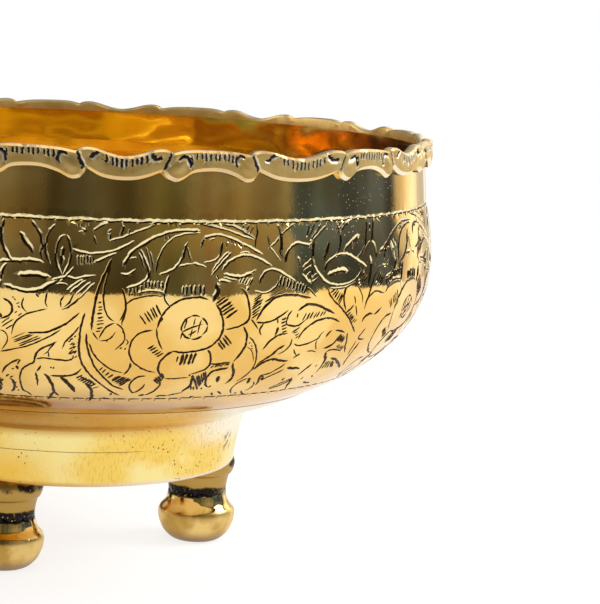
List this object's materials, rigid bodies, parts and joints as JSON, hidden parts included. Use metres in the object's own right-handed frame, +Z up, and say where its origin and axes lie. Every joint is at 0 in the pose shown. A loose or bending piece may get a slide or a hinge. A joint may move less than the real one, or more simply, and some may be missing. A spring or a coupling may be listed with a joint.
{
  "type": "footed offering bowl",
  "caption": "Round brass offering bowl with an engraved belly, a scrolled cast rim and a low drum base on turned feet.",
  "frame": {"origin": "on the ground plane under the middle of the bowl", "axes": "+Z up along the bowl's axis, +X through the axis of foot 1; the feet stand at 0, 120 and 240 degrees"},
  "size_m": [0.2152, 0.2152, 0.1282],
  "materials": {
    "bowl_brass": "polished spun brass, hand engraved, dark patina in the cuts",
    "rim_brass": "cast brass with polished bevels and blackened chasing",
    "drum_brass": "polished brass with casting pits and fine scratches",
    "foot_brass": "turned cast brass, blackened in the neck",
    "screw_brass": "dull turned brass",
    "washer_brass": "dull stamped brass"
  },
  "bodies": {
    "root": {"bowl_body": "bowl_brass", "scroll_rim": "rim_brass", "base_drum": "drum_brass", "foot_1": "foot_brass", "foot_2": "foot_brass", "foot_3": "foot_brass", "foot_screw_1": "screw_brass", "foot_screw_2": "screw_brass", "foot_screw_3": "screw_brass", "foot_washer_1": "washer_brass", "foot_washer_2": "washer_brass", "foot_washer_3": "washer_brass"}
  },
  "joints": []
}
